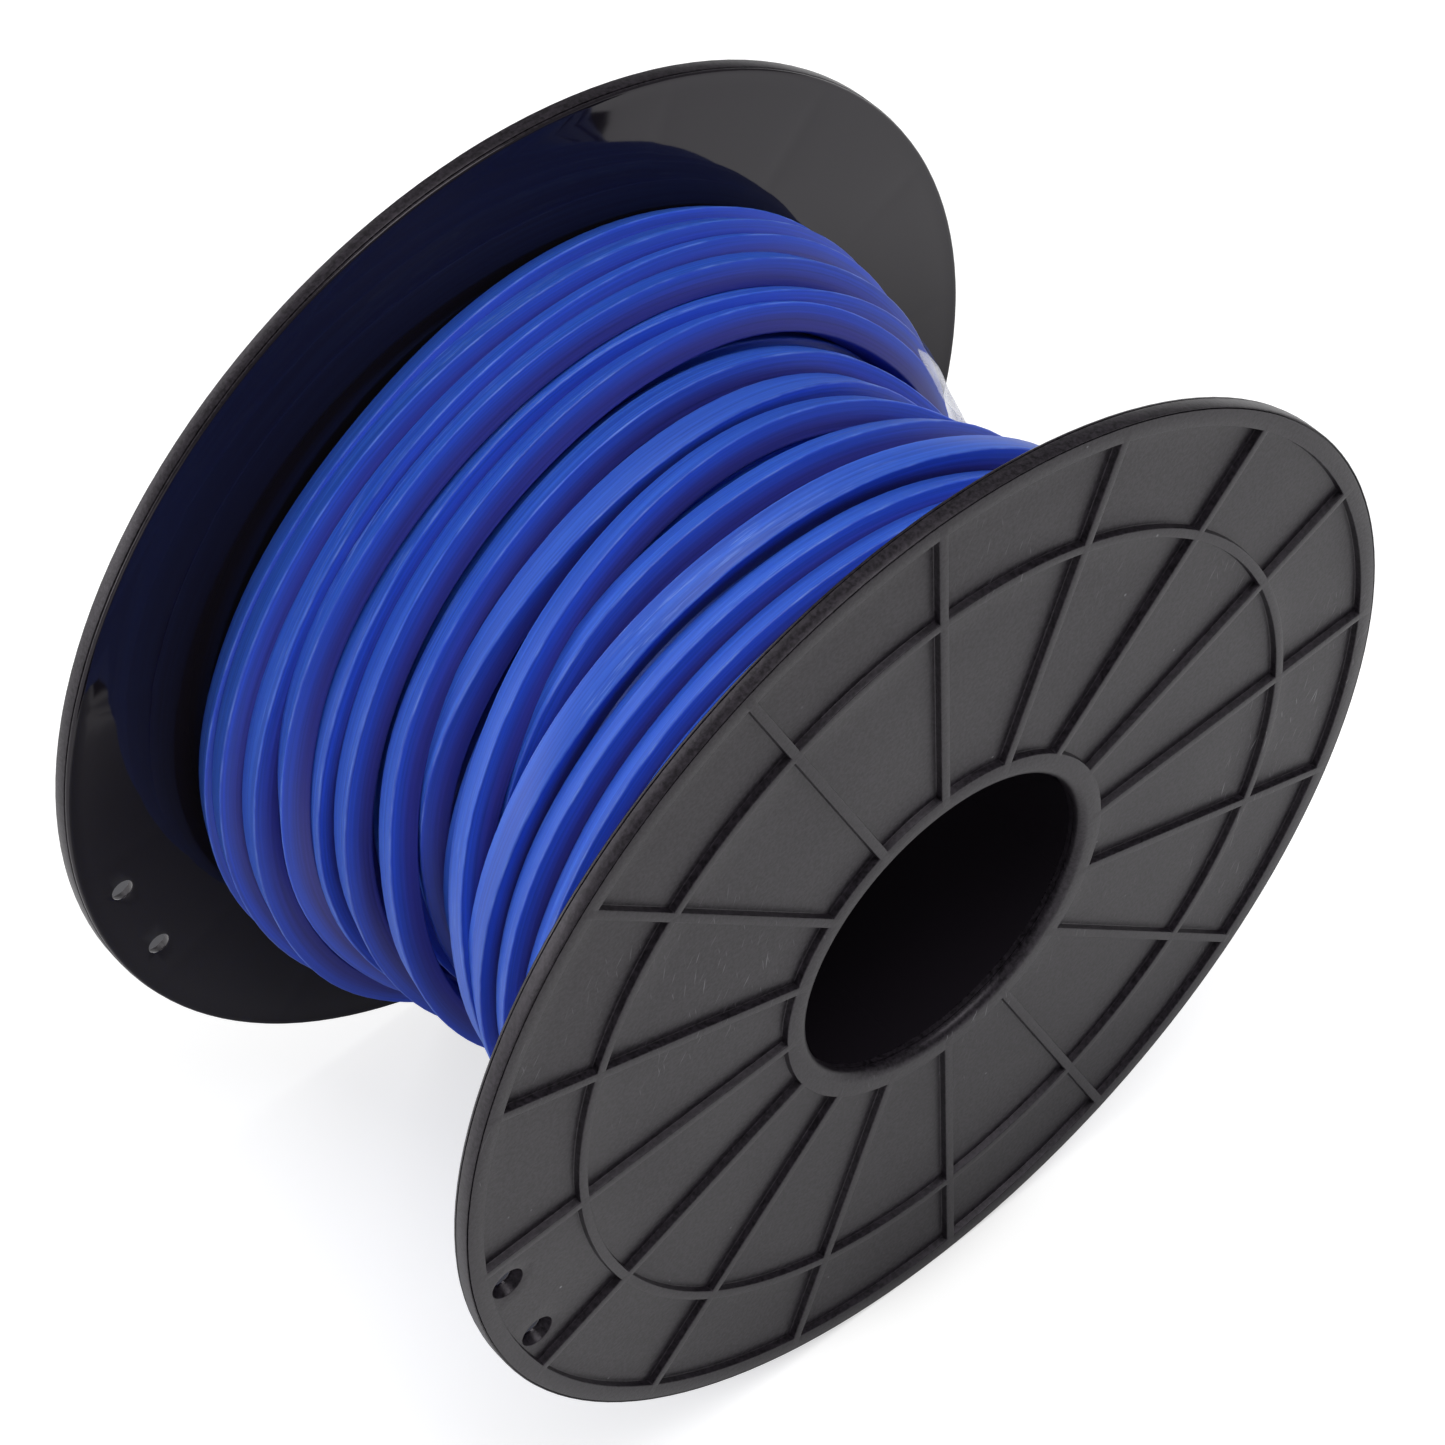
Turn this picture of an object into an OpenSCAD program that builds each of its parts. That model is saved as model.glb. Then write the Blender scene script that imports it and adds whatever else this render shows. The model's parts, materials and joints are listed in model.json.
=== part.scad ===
// Flanged plastic spool of square-section line.
// The spool axis lies along Y, the origin is the middle of the bore, and the front flange faces -Y.

/* [Spool] */
// Width of the spool over both flanges
spool_w = 52; // [42:0.5:70]
// Diameter of the bore through the barrel and both flanges
bore_d = 29; // [20:0.5:32]
// Radius of the rounded mouth of the bore
bore_round = 0.8; // [0.2:0.1:0.9]
// Wall of the barrel
barrel_wall = 2.2; // [1.5:0.1:3.5]
// Length of the spigot at each end of the barrel, which fits into a flange
spigot_h = 0.6; // [0.3:0.1:0.7]
// Wall of that spigot
spigot_wall = 1.2; // [0.8:0.1:1.4]
// Room round and beyond the spigot in its socket
spigot_fit = 0.05; // [0.01:0.01:0.15]

/* [Flanges] */
// Diameter of each flange
flange_d = 96; // [88:1:120]
// Thickness of a flange at its rim, ribs and boss
flange_t = 1.6; // [1.5:0.1:3]
// Thickness of the web between the ribs
web_t = 1; // [0.8:0.05:1.3]
// Width of the flat ring along the rim
rim_w = 1.7; // [1.2:0.1:3]
// Radius of the rounded edges of the rim
rim_round = 0.35; // [0.1:0.05:0.6]
// Width of the boss ring round the bore
boss_w = 2.2; // [1.6:0.1:4]
// Number of radial ribs
rib_count = 16; // [8:2:18]
// Width of each radial rib and of the ring rib
rib_w = 0.85; // [0.5:0.05:1.2]
// Diameter of the ring rib, along its middle
ring_d = 73.8; // [60:0.2:78]
// Diameter of the two holes for tying off the line
tie_hole_d = 2.9; // [2:0.1:3.2]
// Distance between those two holes
tie_hole_pitch = 9.4; // [6:0.2:12]
// Web left between those holes and the rim
tie_hole_edge = 0.25; // [0.1:0.05:1]
// Angle round the spool of the bay that holds them
tie_angle = 195; // [0:5:355]

/* [Line] */
// Side of the square line
line_w = 2.4; // [1.8:0.1:3]
// Chamfer that stands for the rounded corners of the line
line_corner = 0.5; // [0.2:0.05:0.7]
// Least gap to leave between neighbouring turns
turn_gap = 0.6; // [0.5:0.05:1.2]
// Gap to leave between the outer layer and the layer under it
layer_gap = 0.5; // [0.45:0.05:0.8]
// Room between the end turns and the flanges
end_gap = 0.5; // [0.2:0.1:1]
// Diameter over the winding at the front flange
wind_front_d = 67; // [60:0.5:76]
// Diameter over the winding at its waist
wind_waist_d = 64.4; // [60:0.2:72]
// Diameter over the winding at the rear flange
wind_rear_d = 75.4; // [66:0.2:80]
// Angle round the spool at which the outer layer begins
wind_start = 190; // [120:5:220]

/* [Tape] */
// Width of the tape that holds the end of the line, along the spool
tape_w = 20; // [12:1:24]
// Thickness of the tape
tape_t = 0.3; // [0.2:0.05:0.5]
// Gap between the tape and the turns that it lies on
tape_gap = 0.2; // [0.1:0.05:0.4]
// Distance from the rear flange to the tape
tape_inset = 0.6; // [0.3:0.1:3]
// Angle round the spool at which the tape begins
tape_start = -28; // [-60:2:-10]
// Angle that the tape spans
tape_arc = 66; // [50:2:90]

/* [Hidden] */
$fn = 96;

// Spool
bore_r = bore_d / 2;
barrel_r = bore_r + barrel_wall;
spigot_r = bore_r + spigot_wall;
socket_r = spigot_r + spigot_fit;
socket_h = spigot_h + spigot_fit;
half_gap = spool_w / 2 - flange_t;

// Flanges
flange_r = flange_d / 2;
rim_in_r = flange_r - rim_w;
boss_r = bore_r + boss_w;
ring_r = ring_d / 2;
tie_hole_r = rim_in_r - tie_hole_edge - tie_hole_d / 2;
tie_half_angle = asin(tie_hole_pitch / 2 / tie_hole_r);
rib_root = 0.4;         // how far the ribs run into the rim, the boss and the web
cut_past = 1;           // how far a cut runs past the face it leaves
arc_steps = 4;          // straight steps in a quarter round of a turned outline

// Turns of the outer layer, counted from the front flange
RINGS = 24;             // rings of points in one turn
MAX_TURNS = 23;         // turns beyond this would only repeat the look
ring_sag = cos(180 / RINGS);
seat_gap = 0.15;        // gap between the outer layer and the inner winding
core_play = 0.1;        // room round the inner winding
layer_step = line_w + layer_gap;
first_z = half_gap - end_gap - line_w / 2;
last_z = -first_z;
turns = min(MAX_TURNS, floor((first_z - last_z) / (line_w + turn_gap)));
turn_pitch = (first_z - last_z) / turns;
step_for = 0.5;         // part of each turn over which it steps along the spool
climb_for = 0.4;        // part of the first turn over which it climbs a layer, after its step
end_past = 0.04;        // part of a turn that the end runs on past the last step
last_turn = turns + step_for + end_past;
anchor_arc = 20;        // angle of the strand in the layer below that the first turn runs into
waist_at = 0.56;        // where the waist lies, as a part of the way from front to rear
rear_at = 0.9;          // where the rear diameter is reached
slot_side_gap = 0.35;   // room beside the first turn in its slot
profile_steps = 20;     // straight steps in the outline of the inner winding
tape_steps = 9;         // straight steps in the outline of the tape

function smooth(t) = let(s = max(0, min(1, t))) s * s * (3 - 2 * s);
function blend(a, b, t) = a + (b - a) * smooth(t);

// Quarter round from angle a to angle a + 90 about centre c
function quarter(c, r, a) = [
    for (i = [0 : arc_steps])
        let(t = a + 90 * i / arc_steps) [c[0] + r * cos(t), c[1] + r * sin(t)]
];

// Radius over the winding at height z on the spool axis
function wind_r(z) =
    let(t = (first_z - z) / (first_z - last_z))
        t < waist_at
            ? blend(wind_front_d, wind_waist_d, t / waist_at) / 2
            : blend(wind_waist_d, wind_rear_d, (t - waist_at) / (rear_at - waist_at)) / 2;

// Radius of the inner winding under the outer turns
function seat_r(z) = (wind_r(z) - line_w) * ring_sag - seat_gap;

// Each turn steps along by one pitch over its first part, and runs square to the axis over the rest
function steps_at(u) = max(0, floor(u) + smooth((u - floor(u)) / step_for) - 1);
function turn_z(u) = first_z - turn_pitch * steps_at(u);
function turn_r(u) =
    wind_r(turn_z(u)) - line_w / 2 - layer_step * (1 - smooth((u - step_for) / climb_for));
function turn_angle(u) = wind_start - 360 * u;

// The section of the line: across the spool first, then outwards
half_w = line_w / 2;
SECTION = [
    [-half_w, -half_w],
    [half_w, -half_w],
    [half_w, half_w - line_corner],
    [half_w - line_corner, half_w],
    [line_corner - half_w, half_w],
    [-half_w, half_w - line_corner],
];
SIDES = len(SECTION);

// One ring of points at turn u, run on straight by a length along the line's own direction
function ring_points(u, run_on = 0) =
    let(a = turn_angle(u))
        [
            for (p = SECTION)
                let(r = turn_r(u) + p[1])
                    [
                        r * cos(a) + run_on * sin(a),
                        r * sin(a) - run_on * cos(a),
                        turn_z(u) + p[0],
                    ]
        ];

LAST_RING = floor(last_turn * RINGS);
TURN_RINGS = [for (i = [1 : LAST_RING - 1]) ring_points(i / RINGS)];
LINE_RINGS = concat(
    [ring_points(0), ring_points(0, line_w)],
    TURN_RINGS,
    [ring_points(last_turn, -line_w), ring_points(last_turn)]
);

// Least distance between the points of rings that lie one or two turns apart
function ring_gap(a, b) = min([for (p = a, q = b) norm(p - q)]);
TURN_GAPS = [
    for (i = [0 : len(TURN_RINGS) - 1], j = [RINGS - 1 : RINGS + 1])
        if (i + j < len(TURN_RINGS)) ring_gap(TURN_RINGS[i], TURN_RINGS[i + j])
];

// Everything is drawn about Z, with the front upwards, and then laid along Y
module along_axis() {
    rotate([90, 0, 0]) children();
}

module flange_outline() {
    polygon(concat(
        [[bore_r, socket_h], [socket_r, socket_h], [socket_r, 0]],
        quarter([flange_r - rim_round, rim_round], rim_round, -90),
        quarter([flange_r - rim_round, flange_t - rim_round], rim_round, 0),
        [[rim_in_r, flange_t], [rim_in_r, web_t], [boss_r, web_t], [boss_r, flange_t]],
        [for (i = [0 : arc_steps])
            let(t = 90 + 90 * i / arc_steps)
                [bore_r + bore_round * (1 + cos(t)), flange_t - bore_round * (1 - sin(t))]
        ]
    ));
}

module ring_rib_outline() {
    translate([ring_r - rib_w / 2, web_t - rib_root])
        square([rib_w, flange_t - web_t + rib_root]);
}

module radial_rib() {
    translate([boss_r - rib_root, -rib_w / 2, web_t - rib_root])
        cube([rim_in_r - boss_r + 2 * rib_root, rib_w, flange_t - web_t + rib_root]);
}

module tie_holes() {
    for (side = [-1, 1])
        rotate([0, 0, side * tie_half_angle])
            translate([tie_hole_r, 0, -cut_past])
                cylinder(h = flange_t + 2 * cut_past, d = tie_hole_d);
}

// A flange with its inner face at z = 0 and the tie holes in a bay at the angle hole_angle
module flange(hole_angle) {
    rotate([0, 0, hole_angle])
        difference() {
            union() {
                rotate_extrude() flange_outline();
                rotate_extrude() ring_rib_outline();
                for (i = [0 : rib_count - 1])
                    rotate([0, 0, (i + 0.5) * 360 / rib_count]) radial_rib();
            }
            tie_holes();
        }
}

module front_flange() {
    color([0.07, 0.07, 0.075])
        along_axis()
            translate([0, 0, half_gap]) flange(tie_angle);
}

module rear_flange() {
    color([0.07, 0.07, 0.075])
        along_axis()
            rotate([180, 0, 0])
                translate([0, 0, half_gap]) flange(-tie_angle);
}

// The tube that the line is wound on, with a spigot at each end
module barrel() {
    color([0.09, 0.09, 0.095])
        along_axis()
            rotate_extrude() {
                translate([bore_r, -half_gap]) square([barrel_wall, 2 * half_gap]);
                translate([bore_r, -half_gap - spigot_h])
                    square([spigot_wall, 2 * (half_gap + spigot_h)]);
            }
}

module core_outline() {
    end_z = half_gap - core_play;
    polygon(concat(
        [[barrel_r + core_play, -end_z], [barrel_r + core_play, end_z]],
        [for (i = [0 : profile_steps])
            let(z = end_z * (1 - 2 * i / profile_steps)) [seat_r(z), z]
        ]
    ));
}

// The slot by the front flange in which the first turn lies, a layer down
module first_turn_slot() {
    floor_r = (turn_r(0) - half_w) * ring_sag - seat_gap;
    slot_z = first_z - half_w - slot_side_gap;
    translate([floor_r, slot_z])
        square([wind_front_d / 2, half_gap - slot_z + cut_past]);
}

// The inner layers, packed solid on the barrel
module inner_winding() {
    color([0.05, 0.08, 0.42])
        along_axis()
            difference() {
                rotate_extrude() core_outline();
                rotate([0, 0, wind_start + anchor_arc])
                    rotate_extrude(angle = 360 - anchor_arc) first_turn_slot();
            }
}

// The outer layer, one unbroken length of line
module outer_winding() {
    rings = len(LINE_RINGS);
    last = (rings - 1) * SIDES;
    echo(str("Turns in the outer layer: ", last_turn));
    echo(str("Least gap between turns: ", min(TURN_GAPS), " mm"));
    sides = [
        for (i = [0 : rings - 2], k = [0 : SIDES - 1])
            let(a = i * SIDES + k, b = i * SIDES + (k + 1) % SIDES)
                each [[a, b, b + SIDES], [a, b + SIDES, a + SIDES]]
    ];
    caps = [
        for (k = [1 : SIDES - 2])
            each [[0, k + 1, k], [last, last + k, last + k + 1]]
    ];
    color([0.08, 0.14, 0.72])
        along_axis()
            polyhedron(points = [for (ring = LINE_RINGS) each ring], faces = concat(sides, caps));
}

module tape_outline() {
    rear_z = -half_gap + tape_inset;
    heights = [for (i = [0 : tape_steps]) rear_z + tape_w * i / tape_steps];
    under = [for (z = heights) [wind_r(z) + tape_gap, z]];
    over = [for (i = [tape_steps : -1 : 0]) under[i] + [tape_t, 0]];
    polygon(concat(over, under));
}

// Clear tape over the last turns and the end of the line
module end_tape() {
    color([0.92, 0.93, 0.97, 0.6])
        along_axis()
            rotate([0, 0, tape_start])
                rotate_extrude(angle = tape_arc) tape_outline();
}

front_flange();
rear_flange();
barrel();
inner_winding();
outer_winding();
end_tape();
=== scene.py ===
"""Looks of a flanged plastic spool of square nylon line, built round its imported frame.

World frame, in metres: the spool axis is Y, the front flange faces -Y and +Z is up.
Angles round the spool run from +X towards +Z.
"""

import json
import logging
import math
from dataclasses import dataclass, field
from enum import Enum
from typing import Sequence

import bpy
import bmesh
from mathutils import Matrix, Vector, noise


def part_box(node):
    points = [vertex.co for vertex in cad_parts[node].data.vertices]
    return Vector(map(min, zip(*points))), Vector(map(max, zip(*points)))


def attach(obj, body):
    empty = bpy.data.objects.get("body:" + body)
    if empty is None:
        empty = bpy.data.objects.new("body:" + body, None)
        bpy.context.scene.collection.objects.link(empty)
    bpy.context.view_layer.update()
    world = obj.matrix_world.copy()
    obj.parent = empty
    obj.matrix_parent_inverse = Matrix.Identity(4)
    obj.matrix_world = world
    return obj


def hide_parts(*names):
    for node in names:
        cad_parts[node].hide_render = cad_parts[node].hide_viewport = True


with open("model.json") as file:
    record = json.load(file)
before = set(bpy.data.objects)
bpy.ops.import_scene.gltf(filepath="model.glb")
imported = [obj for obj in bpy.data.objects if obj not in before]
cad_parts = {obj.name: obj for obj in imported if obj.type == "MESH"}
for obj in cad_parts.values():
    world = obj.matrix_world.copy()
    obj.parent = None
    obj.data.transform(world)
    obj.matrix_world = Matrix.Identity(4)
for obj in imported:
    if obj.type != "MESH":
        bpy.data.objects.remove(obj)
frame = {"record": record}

MM = 0.001
MERGE = 1e-7  # vertices nearer than this are one
LINE_W = 2.4 * MM  # the side of the square line
BODY = "root"
LOG = logging.getLogger("spool")

Point = tuple[float, float, float]
Pair = tuple[float, float]
Colour = tuple[float, float, float, float]


# ---------------------------------------------------------------- sizes taken from the frame


@dataclass(frozen=True)
class SpoolSizes:
    """The sizes that every piece shares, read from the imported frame.

    Attributes:
        flange_r: The flanges' radius.
        flange_t: Their thickness over the ribs.
        half_gap: How far each flange's inner face stands from the middle.
        bore_r: The bore's radius.
        barrel_r: The barrel's outer radius.
        floor_z: The height at which the rims stand.
    """

    flange_r: float
    flange_t: float
    half_gap: float
    bore_r: float
    barrel_r: float
    floor_z: float

    @classmethod
    def from_frame(cls) -> "SpoolSizes":
        """Reads the sizes from the frame's nodes and from the bore's mount.

        Returns:
            The shared sizes, in metres.
        """
        low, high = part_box("front_flange")
        mounts = {mount["name"]: mount for mount in frame["record"]["mounts"]}
        return cls(
            flange_r=high.z,
            flange_t=high.y - low.y,
            half_gap=-high.y,
            bore_r=mounts["bore"]["dims"]["r_mm"] * MM,
            barrel_r=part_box("barrel")[1].z,
            floor_z=low.z,
        )


# ---------------------------------------------------------------- small geometry helpers


def smooth(t: float) -> float:
    """Eases from 0 to 1 as t goes from 0 to 1."""
    s = max(0.0, min(1.0, t))
    return s * s * (3 - 2 * s)


def on_spool(r: float, angle: float, y: float) -> Point:
    """Gives the point at radius r and an angle in degrees round the spool, at y along it."""
    a = math.radians(angle)
    return (r * math.cos(a), y, r * math.sin(a))


def arc(centre: Pair, r: float, start: float, end: float, steps: int) -> list[Pair]:
    """Gives points along an arc.

    Args:
        centre: The arc's centre.
        r: Its radius.
        start: The angle at which it starts, in degrees.
        end: The angle at which it ends, in degrees.
        steps: How many straight steps stand for it.

    Returns:
        The steps + 1 points of the arc.
    """
    angles = [math.radians(start + (end - start) * i / steps) for i in range(steps + 1)]
    return [(centre[0] + r * math.cos(a), centre[1] + r * math.sin(a)) for a in angles]


def spline(values: Sequence[float], t: float) -> float:
    """Runs a smooth curve through values that stand one step apart.

    Args:
        values: What the curve passes through.
        t: Where to read it, counted in steps from the first value.

    Returns:
        The curve's value at t.
    """
    last = len(values) - 1
    i = min(max(int(math.floor(t)), 0), last - 1)
    u = min(max(t - i, 0.0), 1.0)
    p0, p1, p2, p3 = (values[min(max(i + k, 0), last)] for k in (-1, 0, 1, 2))
    cubic = -p0 + 3 * p1 - 3 * p2 + p3
    square = 2 * p0 - 5 * p1 + 4 * p2 - p3
    return p1 + 0.5 * u * (p2 - p0 + u * (square + u * cubic))


def mesh_object(name: str, points: Sequence[Point], faces: Sequence[Sequence[int]]) -> bpy.types.Object:
    """Makes a mesh object at the origin.

    Args:
        name: The piece's name.
        points: Its vertices.
        faces: Its faces, as indices of vertices.

    Returns:
        The new object, linked to the scene.
    """
    mesh = bpy.data.meshes.new(name)
    mesh.from_pydata(points, [], faces)
    obj = bpy.data.objects.new(name, mesh)
    bpy.context.scene.collection.objects.link(obj)
    return obj


def grid_faces(
    rows: int, wide: int, close_rows: bool = False, close_columns: bool = False
) -> list[tuple[int, ...]]:
    """Gives the four-sided faces between rows of points.

    Args:
        rows: How many rows there are.
        wide: How many points each row has.
        close_rows: Whether the last row joins the first.
        close_columns: Whether the last point of a row joins its first.

    Returns:
        The faces, as indices of points counted row by row.
    """
    faces = []
    for i in range(rows if close_rows else rows - 1):
        low, high = i * wide, (i + 1) % rows * wide
        for k in range(wide if close_columns else wide - 1):
            n = (k + 1) % wide
            faces.append((low + k, low + n, high + n, high + k))
    return faces


def turned_ring(name: str, outline: Sequence[Pair], steps: int) -> bpy.types.Object:
    """Turns a closed outline round the spool axis.

    Args:
        name: The piece's name.
        outline: Its points, as (radius, place along the spool).
        steps: How many steps the turn has.

    Returns:
        The ring as a closed mesh object.
    """
    points = [on_spool(r, 360 * k / steps, y) for r, y in outline for k in range(steps)]
    faces = grid_faces(len(outline), steps, close_rows=True, close_columns=True)
    return mesh_object(name, points, faces)


def clean_up(obj: bpy.types.Object, merge: float, sharp_angle: float) -> None:
    """Merges doubles, turns the faces outwards and shades them smooth.

    Args:
        obj: The mesh object to clean.
        merge: The distance within which vertices are merged.
        sharp_angle: The angle in degrees above which an edge stays sharp.
    """
    bm = bmesh.new()
    bm.from_mesh(obj.data)
    bmesh.ops.remove_doubles(bm, verts=bm.verts, dist=merge)
    bmesh.ops.recalc_face_normals(bm, faces=bm.faces)
    bm.to_mesh(obj.data)
    bm.free()
    obj.data.shade_smooth()
    obj.data.set_sharp_from_angle(angle=math.radians(sharp_angle))


def bake_modifiers(obj: bpy.types.Object) -> None:
    """Turns what the object's modifiers make into its plain mesh, and removes them.

    Args:
        obj: The mesh object.
    """
    graph = bpy.context.evaluated_depsgraph_get()
    mesh = bpy.data.meshes.new_from_object(obj.evaluated_get(graph))
    old = obj.data
    obj.modifiers.clear()
    obj.data = mesh
    mesh.name = obj.name
    bpy.data.meshes.remove(old)


def place_piece(piece: bpy.types.Object, slot: str, *nodes: str) -> None:
    """Hands a finished piece to the frame.

    Args:
        piece: The finished mesh object.
        slot: The record's material slot; not used.
        *nodes: The frame's nodes that it stands for.
    """
    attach(piece, BODY)
    if nodes:
        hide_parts(*nodes)
    LOG.info("%s: %d faces", piece.name, len(piece.data.polygons))


# ---------------------------------------------------------------- node trees


class Tree:
    """A thin wrapper that adds and links nodes in one tree."""

    def __init__(self, tree: bpy.types.NodeTree) -> None:
        """Keeps the tree that nodes are added to."""
        self.tree = tree

    def add(self, kind: str, **settings: object) -> bpy.types.Node:
        """Adds a node.

        Args:
            kind: The node's type name.
            **settings: Properties of the node, or values and links for its inputs, by the
                input's name with underscores for spaces.

        Returns:
            The new node.
        """
        node = self.tree.nodes.new(kind)
        for key, value in settings.items():
            if key in node.bl_rna.properties:
                setattr(node, key, value)
        for key, value in settings.items():
            if key not in node.bl_rna.properties:
                self.feed(node, key.replace("_", " "), value)
        return node

    def feed(self, node: bpy.types.Node, name: str, value: object) -> None:
        """Gives an input, found by its name or number, a value or a link.

        Args:
            node: The node that has the input.
            name: The input's name, or its number, as in i0.
            value: A plain value, or the socket or node that it is linked to.
        """
        named = [s for s in node.inputs if s.name == name and s.enabled]
        socket = named[0] if named else node.inputs[int(name.strip("i"))]
        if isinstance(value, bpy.types.NodeSocket):
            self.tree.links.new(value, socket)
        elif isinstance(value, bpy.types.Node):
            self.tree.links.new(next(s for s in value.outputs if s.enabled), socket)
        else:
            socket.default_value = value

    def math(self, operation: str, a: object, b: object = 0.0) -> bpy.types.Node:
        """Adds a Math node of the shader or geometry kind."""
        return self.add("ShaderNodeMath", operation=operation, i0=a, i1=b)

    def times(self, a: object, b: object) -> bpy.types.Node:
        """Multiplies two numbers."""
        return self.math("MULTIPLY", a, b)

    def vector(self, operation: str, a: object, b: object = (0, 0, 0)) -> bpy.types.Node:
        """Adds a Vector Math node."""
        return self.add("ShaderNodeVectorMath", operation=operation, i0=a, i1=b)

    def scaled(self, vector: object, factor: object) -> bpy.types.Node:
        """Scales a vector by a number."""
        return self.add("ShaderNodeVectorMath", operation="SCALE", i0=vector, Scale=factor)

    def axes(self, vector: object) -> bpy.types.bpy_prop_collection:
        """Splits a vector, and gives its parts by the names X, Y and Z."""
        return self.add("ShaderNodeSeparateXYZ", Vector=vector).outputs

    def mix(self, factor: object, a: object, b: object) -> bpy.types.Node:
        """Mixes two numbers."""
        return self.add("ShaderNodeMix", Factor=factor, A=a, B=b)

    def blend(self, factor: object, a: object, b: object) -> bpy.types.NodeSocket:
        """Mixes two colours and gives the result's socket."""
        mixed = self.add("ShaderNodeMix", data_type="RGBA", Factor=factor, A=a, B=b)
        return next(s for s in mixed.outputs if s.enabled)

    def noise(
        self, place: object, scale: float, detail: float, roughness: float = 0.5
    ) -> bpy.types.Node:
        """Adds a Noise Texture node."""
        settings = {"Scale": scale, "Detail": detail, "Roughness": roughness}
        return self.add("ShaderNodeTexNoise", Vector=place, **settings)

    def bump(self, height: object, strength: float, distance: float) -> bpy.types.Node:
        """Adds a Bump node, whose distance is in metres."""
        return self.add("ShaderNodeBump", Height=height, Strength=strength, Distance=distance)

    def ramp(
        self,
        value: object,
        start: float,
        end: float,
        low: float = 0.0,
        high: float = 1.0,
        soft: bool = False,
    ) -> bpy.types.Node:
        """Maps a value to a range and holds it there.

        Args:
            value: What is read.
            start: The value that gives low.
            end: The value that gives high.
            low: The result up to the start.
            high: The result past the end.
            soft: Whether it eases in and out.

        Returns:
            The Map Range node.
        """
        return self.add(
            "ShaderNodeMapRange",
            interpolation_type="SMOOTHSTEP" if soft else "LINEAR",
            Value=value,
            From_Min=start,
            From_Max=end,
            To_Min=low,
            To_Max=high,
        )


class GeometryTree(Tree):
    """A geometry tree with named inputs, which a modifier can run."""

    def __init__(self, name: str) -> None:
        """Starts the tree with a geometry input and output.

        Args:
            name: The tree's name.
        """
        super().__init__(bpy.data.node_groups.new(name, "GeometryNodeTree"))
        self.tree.interface.new_socket("Geometry", in_out="INPUT", socket_type="NodeSocketGeometry")
        self.tree.interface.new_socket("Geometry", in_out="OUTPUT", socket_type="NodeSocketGeometry")
        self.identifiers: dict[str, str] = {}
        self.start = self.tree.nodes.new("NodeGroupInput")
        self.end = self.tree.nodes.new("NodeGroupOutput")

    def named_input(self, name: str, kind: str) -> bpy.types.NodeSocket:
        """Adds a named input to the tree.

        Args:
            name: The input's name.
            kind: Its socket type, such as Float, Int or Material.

        Returns:
            The socket that gives its value inside the tree.
        """
        item = self.tree.interface.new_socket(name, in_out="INPUT", socket_type=f"NodeSocket{kind}")
        self.identifiers[name] = item.identifier
        return self.start.outputs[name]

    def finish_with(self, geometry: bpy.types.Node, material: bpy.types.NodeSocket) -> None:
        """Ends the tree in Realize Instances and Set Material.

        Args:
            geometry: The node whose geometry is the result.
            material: The input that gives its material.
        """
        real = self.add("GeometryNodeRealizeInstances", Geometry=geometry)
        dressed = self.add("GeometryNodeSetMaterial", Geometry=real, Material=material)
        self.feed(self.end, "Geometry", dressed)

    def run_on(self, obj: bpy.types.Object, **values: object) -> None:
        """Runs the tree on an object and keeps the result as its plain mesh.

        Args:
            obj: The object that is the tree's input, and takes its result.
            **values: The named inputs' values, with underscores for spaces.
        """
        modifier = obj.modifiers.new(self.tree.name, "NODES")
        modifier.node_group = self.tree
        for name, value in values.items():
            modifier[self.identifiers[name.replace("_", " ")]] = value
        obj.update_tag()
        bpy.context.view_layer.update()
        bake_modifiers(obj)


# ---------------------------------------------------------------- finishes


@dataclass(frozen=True)
class Finish:
    """What every finish shares: a named material with a shader."""

    name: str = "finish"

    def material(self) -> bpy.types.Material:
        """Makes the material, or finds it where it was made before.

        Returns:
            The material.
        """
        found = bpy.data.materials.get(self.name)
        if found:
            return found
        made = bpy.data.materials.new(self.name)
        made.use_nodes = True
        made.node_tree.nodes.clear()
        tree = Tree(made.node_tree)
        output = tree.add("ShaderNodeOutputMaterial")
        tree.feed(output, "Surface", self.surface(tree))
        return made

    def surface(self, tree: Tree) -> bpy.types.Node:
        """Builds the shader that the finish shows."""
        raise NotImplementedError


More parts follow.
